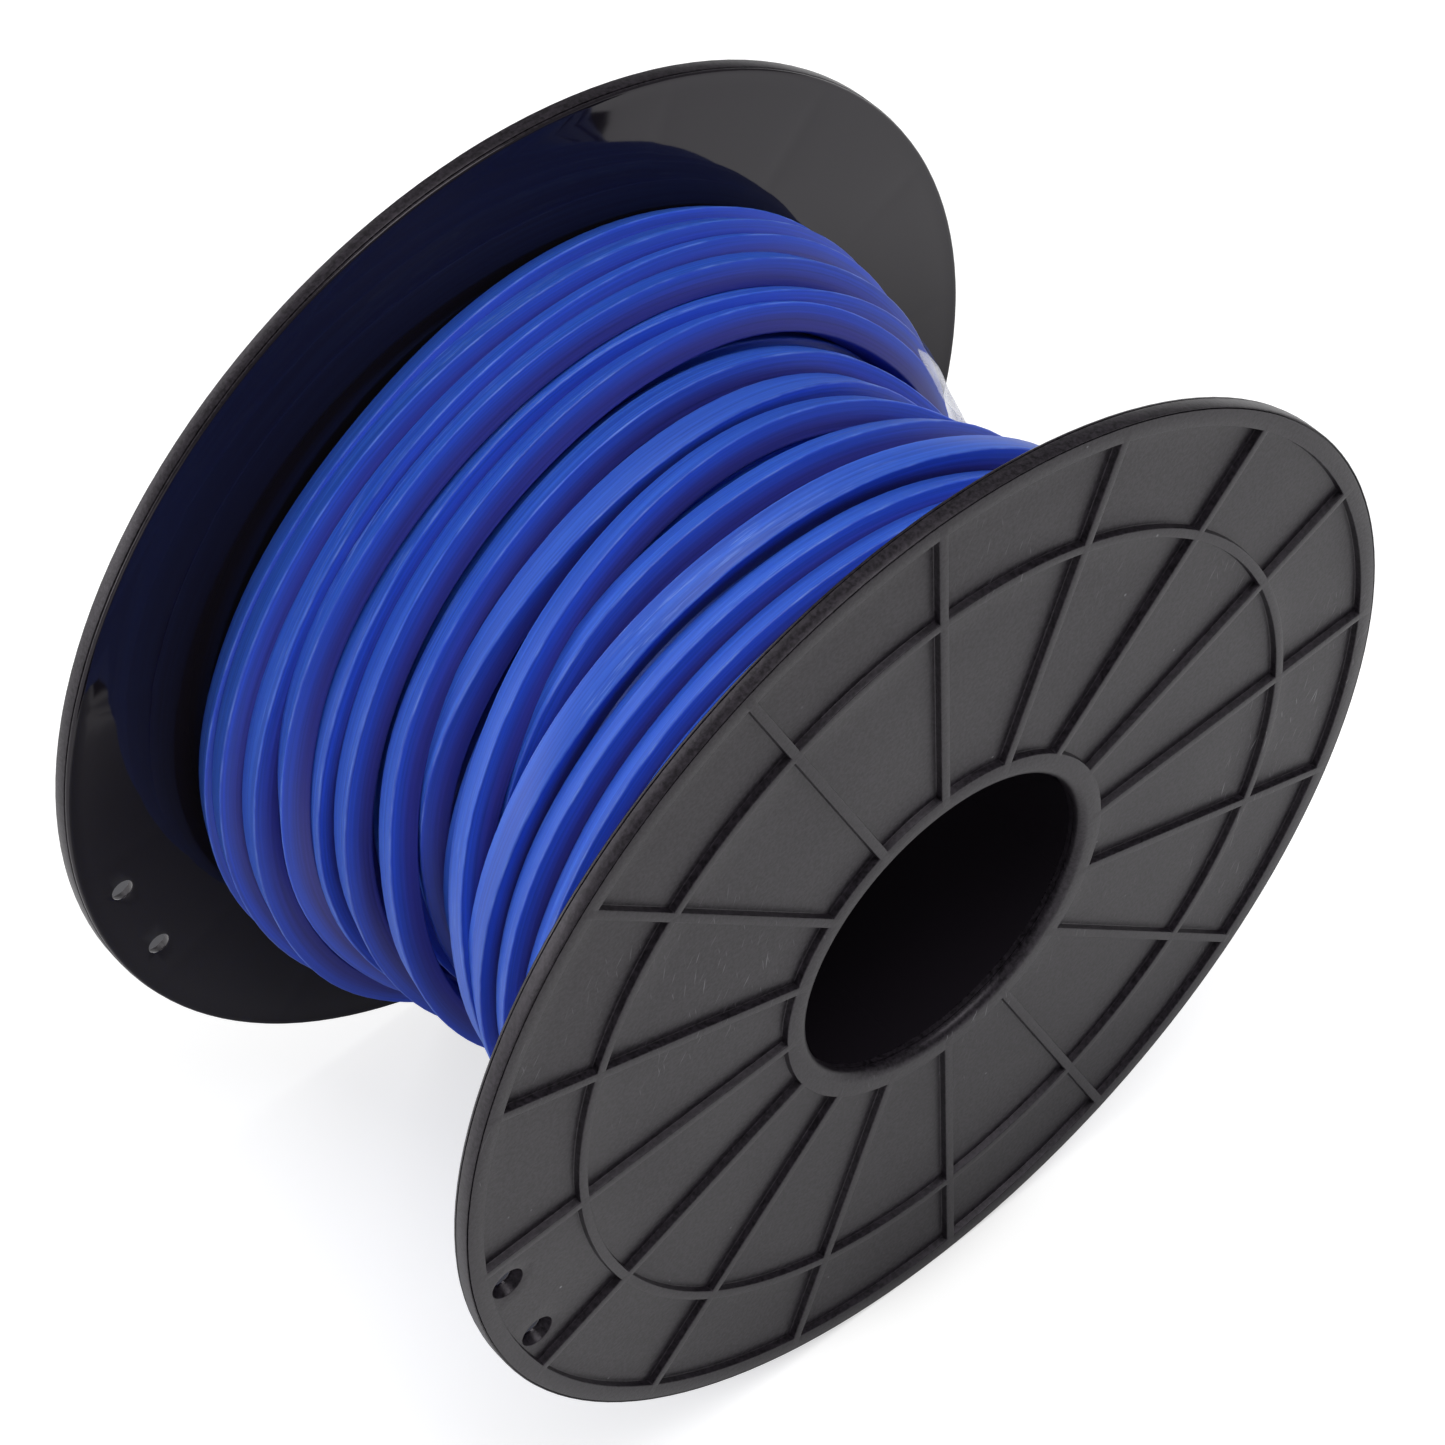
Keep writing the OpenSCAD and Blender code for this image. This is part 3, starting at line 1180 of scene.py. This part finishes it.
# The outer layer, from the front flange to the rear one. Its start climbs out of the layer below
OUTER_TURNS = (
    Turn(-22.9, (33.4, 33.4, 33.4, 33.3, 32.9, 31.9, 30.7), 6),
    Turn(-20.4, 33.6, 16),
    Turn(-17.6, 33.6, 24),
    Turn((-14.8, -14.8, -14.7, -14.6, -14.8, -14.9, -15.0), 33.6, 30),
    Turn(
        (-12.7, -12.5, -11.9, -11.6, -11.6, -12.3, -12.8),
        (33.5, 33.6, 33.7, 33.8, 33.7, 33.5, 33.2),
        26,
    ),
    Turn(
        (-10.3, -9.9, -9.1, -8.9, -8.9, -9.5, -9.9),
        (34.9, 34.2, 33.6, 33.8, 33.8, 33.5, 33.0),
        (10, 6, -6, -10, 8, 18, 20),
    ),
    Turn(
        (-1.2, 1.0, 1.0, -0.9, -4.2, -8.4, -10.4),
        (31.8, 31.8, 32.6, 33.3, 33.8, 33.4, 32.2),
        (24, 24, 26, 24, 20, 14, 14),
    ),
    Turn(
        (4.2, 7.4, 7.9, 6.8, 5.0, 1.5, 0.0),
        (31.4, 32.2, 32.6, 32.9, 33.0, 33.0, 32.7),
        (20, 22, 20, 28, 22, 14, 12),
    ),
    Turn(
        (9.6, 11.6, 11.4, 10.3, 8.6, 6.8, 5.0),
        (33.9, 34.3, 34.3, 34.1, 34.0, 33.7, 33.4),
        (26, 28, 32, 26, 18, 18, 20),
    ),
    Turn(
        (11.8, 12.7, 13.5, 12.7, 11.1, 9.9, 8.8),
        (35.3, 34.8, 34.3, 34.3, 34.5, 34.0, 33.4),
        (24, 24, 16, 20, 12, 2, 2),
    ),
    Turn(
        (14.2, 15.1, 15.2, 14.6, 13.5, 12.0, 10.6),
        (36.2, 36.3, 36.5, 36.6, 36.6, 35.9, 34.6),
        (20, 20, 26, 26, 24, 36, 38),
    ),
    Turn(
        (17.8, 17.9, 17.4, 16.6, 15.6, 14.6, 13.4),
        (36.8, 36.8, 36.8, 36.8, 36.8, 37.0, 37.3),
        (30, 30, 30, 24, 14, 14, 16),
    ),
    Turn(
        (20.2, 19.7, 19.4, 19.1, 18.4, 17.8, 16.9),
        (37.0, 37.1, 37.3, 37.5, 37.9, 38.0, 37.9),
        (28, 28, 28, 28, 24, 20, 20),
    ),
    Turn(
        (22.3, 22.2, 22.0, 21.1, 20.8, 20.6, 20.3),
        (36.7, 36.8, 36.9, 36.9, 37.2, 37.6, 37.8),
        (30, 30, 32, 32, 28, 24, 22),
    ),
)

# The layer below, from the rear flange to the front one. Three of its turns come up into the
# gaps that the outer turns leave
UNDER_TURNS = (
    Turn(21.6, 34.6, 4),
    Turn(19.0, 34.6, 4),
    Turn(16.3, 34.0, 8),
    Turn(13.6, 32.8, 10),
    Turn((11.4, 11.6, 11.8, 11.6, 11.0, 10.4, 10.0), 31.0, 14),
    Turn(
        (8.4, 8.8, 9.0, 8.6, 8.0, 7.3, 6.4),
        (30.8, 31.6, 31.6, 31.2, 30.6, 30.0, 29.8),
        22,
    ),
    Turn((6.0, 6.2, 6.2, 5.8, 5.4, 4.8, 3.8), 29.6, 14),
    Turn(
        (3.4, 4.0, 3.6, 2.9, 2.8, 2.2, 1.0),
        (30.4, 31.6, 32.0, 32.2, 31.5, 29.6, 29.2),
        (25, 14, 0, 8, 25, 25, 20),
    ),
    Turn((0.6, 0.8, 0.8, 0.2, -0.6, -1.6, -3.2), 29.3, 8),
    Turn((-1.8, -1.6, -1.4, -1.8, -3.0, -5.2, -6.8), 29.3, 8),
    Turn(
        (-3.4, -3.4, -3.5, -3.8, -5.0, -7.8, -9.4),
        (33.0, 32.6, 32.7, 32.8, 31.2, 29.6, 29.4),
        (20, 28, 28, 28, 20, 8, 8),
    ),
    Turn((-6.4, -6.6, -6.6, -6.6, -7.4, -10.2, -11.6), 30.2, 8),
    Turn((-9.2, -9.4, -9.4, -9.4, -9.8, -12.6, -14.0), 30.6, 8),
    Turn((-12.0, -12.2, -12.2, -12.2, -12.6, -15.0, -16.4), 31.0, 8),
    Turn((-14.8, -15.0, -15.0, -15.0, -15.4, -17.4, -18.8), 31.2, 8),
    Turn((-17.6, -17.8, -17.8, -17.8, -18.2, -19.8, -21.0), 31.2, 6),
    Turn((-20.4, -20.6, -20.6, -20.6, -21.0, -22.2, -22.8), 31.0, 4),
)


@dataclass
class Winding:
    """One layer of the wound line, swept as a single length of square section."""

    sizes: SpoolSizes
    name: str
    turns: tuple[Turn, ...]
    corner: float = 0.16 * MM
    room: float = 0.05 * MM
    rings_per_turn: int = 120
    end_angle: float = -4.0
    wander: float = 0.07 * MM
    twist: float = 2.5
    # How fast the wander and the twist change, at each ring and at each turn
    drift: Pair = (0.11, 0.7)
    finish: Finish = field(default_factory=LineNylon)

    def laid(self, k: int, angle: float) -> Vector:
        """Reads how turn k lies at an angle.

        Args:
            k: The turn's number.
            angle: The angle round the spool, from the last station down to the first, and
                on from there round the back.

        Returns:
            Its lay and top in mm, and its lean in degrees.
        """
        first, last = STATIONS[0], STATIONS[-1]
        turn = self.turns[k]
        if angle >= first or k + 1 == len(self.turns):
            return turn.read((angle - first) / (STATIONS[1] - first))
        t = smooth((first - angle) / (360 - last + first))
        return turn.read(0).lerp(self.turns[k + 1].read(len(STATIONS) - 1), t)

    def path(self) -> tuple[list[Point], list[Point]]:
        """Lays the line from one flange to the other.

        Returns:
            The points along the line's middle, and for each the direction that the outer
            face of its section looks in.
        """
        last = STATIONS[-1]
        half = LINE_W / 2
        rings = int((len(self.turns) - 1 + (last - self.end_angle) / 360) * self.rings_per_turn)
        points, facings = [], []
        for i in range(rings + 1):
            k, step = divmod(i, self.rings_per_turn)
            angle = last - 360 * step / self.rings_per_turn
            edge, top, lean = self.laid(k, angle)
            at = Vector((i * self.drift[0], k * self.drift[1], len(self.turns)))
            lean += self.twist * noise.noise(at)
            c, s = math.cos(math.radians(lean)), math.sin(math.radians(lean))
            y = edge * MM + half * (c - s) + self.wander * noise.noise(at + Vector((0, 0, 5)))
            limit = self.sizes.half_gap - half * (c + abs(s)) - self.room
            y = max(-limit, min(limit, y))
            points.append(on_spool(top * MM - half * (c + s), angle, y))
            facings.append(on_spool(c, angle, s))
        return points, facings

    @staticmethod
    def sweep_tree() -> GeometryTree:
        """Builds the tree that sweeps a rounded square along a path with its own facing.

        Returns:
            The tree, with inputs for the line's width, corner radius and material.
        """
        tree = GeometryTree("sweep_square_line")
        width = tree.named_input("Line Width", "Float")
        corner = tree.named_input("Corner Radius", "Float")
        material = tree.named_input("Material", "Material")
        facing = tree.add("GeometryNodeInputNamedAttribute", data_type="FLOAT_VECTOR", Name="facing")
        curve = tree.add("GeometryNodeMeshToCurve", Mesh=tree.start.outputs["Geometry"])
        turned = tree.add("GeometryNodeSetCurveNormal", mode="FREE", Curve=curve, Normal=facing)
        along = tree.add("GeometryNodeSplineParameter")
        kept = tree.add("GeometryNodeCaptureAttribute", Geometry=turned)
        kept.capture_items.new("FLOAT", "Along")
        tree.feed(kept, "Along", along.outputs["Length"])
        square = tree.add("GeometryNodeCurvePrimitiveQuadrilateral", Width=width, Height=width)
        soft = tree.add(
            "GeometryNodeFilletCurve", mode="POLY", Curve=square, Count=3, Radius=corner
        )
        around = tree.add("GeometryNodeSplineParameter")
        section = tree.add("GeometryNodeCaptureAttribute", Geometry=soft)
        section.capture_items.new("FLOAT", "Around")
        section.capture_items.new("VECTOR", "Place")
        tree.feed(section, "Around", around.outputs["Factor"])
        tree.feed(section, "Place", tree.add("GeometryNodeInputPosition"))
        swept = tree.add(
            "GeometryNodeCurveToMesh",
            Curve=kept.outputs["Geometry"],
            Profile_Curve=section.outputs["Geometry"],
            Fill_Caps=True,
        )
        uv = tree.add("ShaderNodeCombineXYZ", X=kept.outputs["Along"], Y=section.outputs["Around"])
        mapped = tree.add(
            "GeometryNodeStoreNamedAttribute",
            data_type="FLOAT2",
            domain="CORNER",
            Geometry=swept,
            Name="UVMap",
            Value=uv,
        )
        placed = tree.add(
            "GeometryNodeStoreNamedAttribute",
            data_type="FLOAT_VECTOR",
            domain="POINT",
            Geometry=mapped,
            Name="section",
            Value=section.outputs["Place"],
        )
        tree.finish_with(placed, material)
        return tree

    def build(self, *nodes: str) -> None:
        """Sweeps the line along its path and hands it to the frame.

        Args:
            *nodes: The frame's nodes that the piece stands for.
        """
        points, facings = self.path()
        mesh = bpy.data.meshes.new(self.name)
        mesh.from_pydata(points, [(i, i + 1) for i in range(len(points) - 1)], [])
        stored = mesh.attributes.new("facing", "FLOAT_VECTOR", "POINT")
        stored.data.foreach_set("vector", [x for facing in facings for x in facing])
        piece = bpy.data.objects.new(self.name, mesh)
        bpy.context.scene.collection.objects.link(piece)
        self.sweep_tree().run_on(
            piece, Line_Width=LINE_W, Corner_Radius=self.corner, Material=self.finish.material()
        )
        clean_up(piece, MERGE, sharp_angle=50)
        place_piece(piece, "line_nylon", *nodes)


@dataclass
class PackedCore:
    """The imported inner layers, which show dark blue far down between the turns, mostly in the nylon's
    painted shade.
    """

    sizes: SpoolSizes
    depth: float = 2.3 * MM
    groove: float = 0.5 * MM
    room: float = 0.05 * MM
    steps: int = 150
    around: int = 96
    finish: Finish = field(default_factory=LineNylon)

    def build(self) -> None:
        """Turns the core's ridged outline round the axis and hands it to the frame."""
        stations = range(len(STATIONS))
        places = sorted(
            (turn.read(2)[0] * MM, min(turn.read(step)[1] for step in stations) * MM)
            for turn in UNDER_TURNS
        )
        end = self.sizes.half_gap - self.room
        inner = self.sizes.barrel_r + self.room
        outline = [(inner, end), (inner, -end)]
        for i in range(self.steps + 1):
            y = -end + 2 * end * i / self.steps
            near = [r for at, r in places if abs(at + LINE_W / 2 - y) < 2 * LINE_W]
            top = min(near) if near else places[0][1]
            ridge = abs(math.sin(math.pi * y / LINE_W)) * self.groove
            outline.append((top - self.depth - self.groove + ridge, y))
        piece = turned_ring("packed_core", outline, self.around)
        clean_up(piece, MERGE, sharp_angle=40)
        piece.data.materials.append(self.finish.material())
        place_piece(piece, "line_nylon", "inner_winding")


@dataclass
class EndTape:
    """The clear film that holds the line's end, from the rear flange to the front turns.

    Attributes:
        sizes: The shared sizes.
        start: The angle round the spool at which it starts, in degrees.
        end: The angle at which it ends by the front turns.
        slant: By how much its end falls back towards the rear.
        slant_at: Where along the spool that begins.
        slant_over: How far along the spool it takes.
        front: Where its front edge lies.
        inset: How far its rear edge stays from the flange.
        thick: Its thickness.
        crease: The height of its creases.
        crease_rate: How fast they change, in each degree round the spool and metre along it.
        steps_round: How many steps it has round the spool.
        steps_along: How many steps it has along it.
        surface: Its distance from the axis at places along the spool, both in mm.
    """

    sizes: SpoolSizes
    start: float = -28.0
    end: float = 36.0
    slant: float = 18.0
    slant_at: float = 8.5 * MM
    slant_over: float = 3.0 * MM
    front: float = 1.6 * MM
    inset: float = 0.9 * MM
    thick: float = 0.08 * MM
    crease: float = 0.06 * MM
    crease_rate: Pair = (0.12, 600)
    steps_round: int = 44
    steps_along: int = 30
    surface: tuple[Pair, ...] = (
        (1.6, 31.9),
        (4.0, 32.3),
        (6.2, 33.2),
        (8.7, 34.1),
        (12.0, 35.7),
        (14.8, 36.7),
        (17.8, 37.2),
        (23.5, 37.1),
    )
    finish: Finish = field(default_factory=ClearTape)

    def surface_r(self, y: float) -> float:
        """Gives the film's distance from the axis at y, both in metres.

        Args:
            y: The place along the spool.

        Returns:
            The distance there.
        """
        at = y / MM
        for (y0, r0), (y1, r1) in zip(self.surface, self.surface[1:]):
            if at <= y1:
                return (r0 + (r1 - r0) * (at - y0) / (y1 - y0)) * MM
        return self.surface[-1][1] * MM

    def build(self) -> None:
        """Lays the film over the turns, as a thin closed strip, and hands it to the frame."""
        rear = self.sizes.half_gap - self.inset
        wide, long = self.steps_along, self.steps_round
        points = []
        for layer in (0.0, self.thick):
            for i in range(long + 1):
                for j in range(wide + 1):
                    y = self.front + (rear - self.front) * j / wide
                    end = self.end - self.slant * smooth((y - self.slant_at) / self.slant_over)
                    angle = self.start + (end - self.start) * i / long
                    at = Vector((angle * self.crease_rate[0], y * self.crease_rate[1], 3.0))
                    r = self.surface_r(y) + self.crease * noise.noise(at) + layer
                    points.append(on_spool(r, angle, y))
        row = wide + 1
        sheet = (long + 1) * row
        rim = [*range(wide), *range(wide, sheet - 1, row)]
        rim += [*range(sheet - 1, sheet - 1 - wide, -1), *range(long * row, 0, -row)]
        below = grid_faces(long + 1, row)
        above = [(a + sheet, d + sheet, c + sheet, b + sheet) for a, b, c, d in below]
        edge = [(a, b, b + sheet, a + sheet) for a, b in zip(rim, rim[1:] + rim[:1])]
        faces = below + above + edge
        piece = mesh_object("end_film", points, faces)
        clean_up(piece, MERGE, sharp_angle=40)
        piece.data.materials.append(self.finish.material())
        place_piece(piece, "tape_film", "end_tape")


# ---------------------------------------------------------------- stage, lights and camera


@dataclass(frozen=True)
class Lamp:
    """One soft light that looks at the spool.

    Attributes:
        name: The light's name.
        place: Where it stands.
        size: Its width and height.
        power: Its power in watts.
    """

    name: str
    place: Point
    size: Pair
    power: float

    def build(self) -> None:
        """Builds the light, turned to the middle of the spool."""
        data = bpy.data.lights.new(self.name, "AREA")
        data.shape = "RECTANGLE"
        data.size, data.size_y = self.size
        data.energy = self.power
        light = bpy.data.objects.new(self.name, data)
        light.location = self.place
        light.rotation_euler = (-Vector(self.place)).to_track_quat("-Z", "Y").to_euler()
        bpy.context.scene.collection.objects.link(light)


LAMPS = (
    Lamp("back", (-0.45, 1.28, 0.63), (1.0, 0.8), 7.5),
    Lamp("side", (-0.98, 0.66, 0.14), (1.0, 0.3), 4.5),
    Lamp("top", (0.10, -0.25, 1.35), (0.9, 0.9), 12.0),
    Lamp("fill", (-0.75, -0.75, 0.14), (0.8, 0.3), 1.0),
)


@dataclass
class Studio:
    """The plain stage: floor, soft lights, world and the camera.

    Attributes:
        sizes: The shared sizes.
        floor_half: Half the floor's width.
        world_light: The strength of the world's light on the object.
        image_px: The width of the whole image.
        focal_px: The camera's focal length in that image's pixels.
        sensor: The width of the camera's sensor, in mm.
        azimuth: The angle from which the camera looks, in degrees from -Y towards +X.
        elevation: How far above the horizon it stands, in degrees.
        distance: Its distance from the spool's middle.
        shift_right: How far it is moved to its right.
        shift_up: How far it is moved up in its own image plane.
        shift_along: How far it is moved along the spool axis.
    """

    sizes: SpoolSizes
    floor_half: float = 4.0
    world_light: float = 0.25
    image_px: int = 1445
    focal_px: float = 4000.0
    sensor: float = 36.0
    azimuth: float = -40.84
    elevation: float = 49.0
    distance: float = 0.32568
    shift_right: float = -0.00096
    shift_up: float = 0.00154
    shift_along: float = -0.0005

    def camera_axes(self) -> tuple[Vector, Vector, Vector]:
        """Gives the camera's right, up and back directions.

        Returns:
            The three directions, each one long.
        """
        a, e = math.radians(self.azimuth), math.radians(self.elevation)
        back = Vector((math.sin(a) * math.cos(e), -math.cos(a) * math.cos(e), math.sin(e)))
        right = Vector((math.cos(a), math.sin(a), 0))
        return right, back.cross(right), back

    def build_camera(self) -> None:
        """Builds the camera at the viewing angle."""
        right, up, back = self.camera_axes()
        data = bpy.data.cameras.new("camera")
        data.sensor_width = self.sensor
        data.lens = self.focal_px / self.image_px * self.sensor
        camera = bpy.data.objects.new("camera", data)
        place = back * self.distance + right * self.shift_right + up * self.shift_up
        place.y += self.shift_along
        turn = Matrix((right, up, back)).transposed()
        camera.matrix_world = Matrix.Translation(place) @ turn.to_4x4()
        bpy.context.scene.collection.objects.link(camera)
        bpy.context.scene.camera = camera

    def build_floor(self) -> None:
        """Builds the plain pale floor under the rims."""
        h, z = self.floor_half, self.sizes.floor_z
        corners = [(-h, -h, z), (h, -h, z), (h, h, z), (-h, h, z)]
        floor = mesh_object("floor", corners, [(0, 1, 2, 3)])
        floor.data.materials.append(StageFinish().material())

    def build_world(self) -> None:
        """Builds an even pale world that the camera sees as white."""
        world = bpy.data.worlds.new("world")
        world.use_nodes = True
        world.node_tree.nodes.clear()
        tree = Tree(world.node_tree)
        rays = tree.add("ShaderNodeLightPath")
        strength = tree.math("MAXIMUM", rays.outputs["Is Camera Ray"], self.world_light)
        ground = tree.add("ShaderNodeBackground", Color=(1, 1, 1, 1), Strength=strength)
        output = tree.add("ShaderNodeOutputWorld")
        tree.feed(output, "Surface", ground)
        bpy.context.scene.world = world

    def build(self) -> None:
        """Builds the whole stage."""
        bpy.context.scene.view_settings.view_transform = "Standard"
        self.build_camera()
        self.build_floor()
        self.build_world()
        for lamp in LAMPS:
            lamp.build()


# ---------------------------------------------------------------- the whole object


def main() -> None:
    """Builds the stage and every piece of the spool, in order."""
    logging.basicConfig(level=logging.INFO, format="%(message)s")
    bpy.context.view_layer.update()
    sizes = SpoolSizes.from_frame()
    plastic = SpoolPlastic(half_gap=sizes.half_gap)
    Studio(sizes).build()
    for side in Side:
        Flange(sizes, side, plastic).build()
    Barrel(sizes, plastic).build()
    Winding(sizes, "outer_line", OUTER_TURNS).build("outer_winding")
    Winding(sizes, "under_line", UNDER_TURNS, rings_per_turn=90).build("inner_winding")
    PackedCore(sizes).build()
    EndTape(sizes).build()


if __name__ == "__main__":
    main()
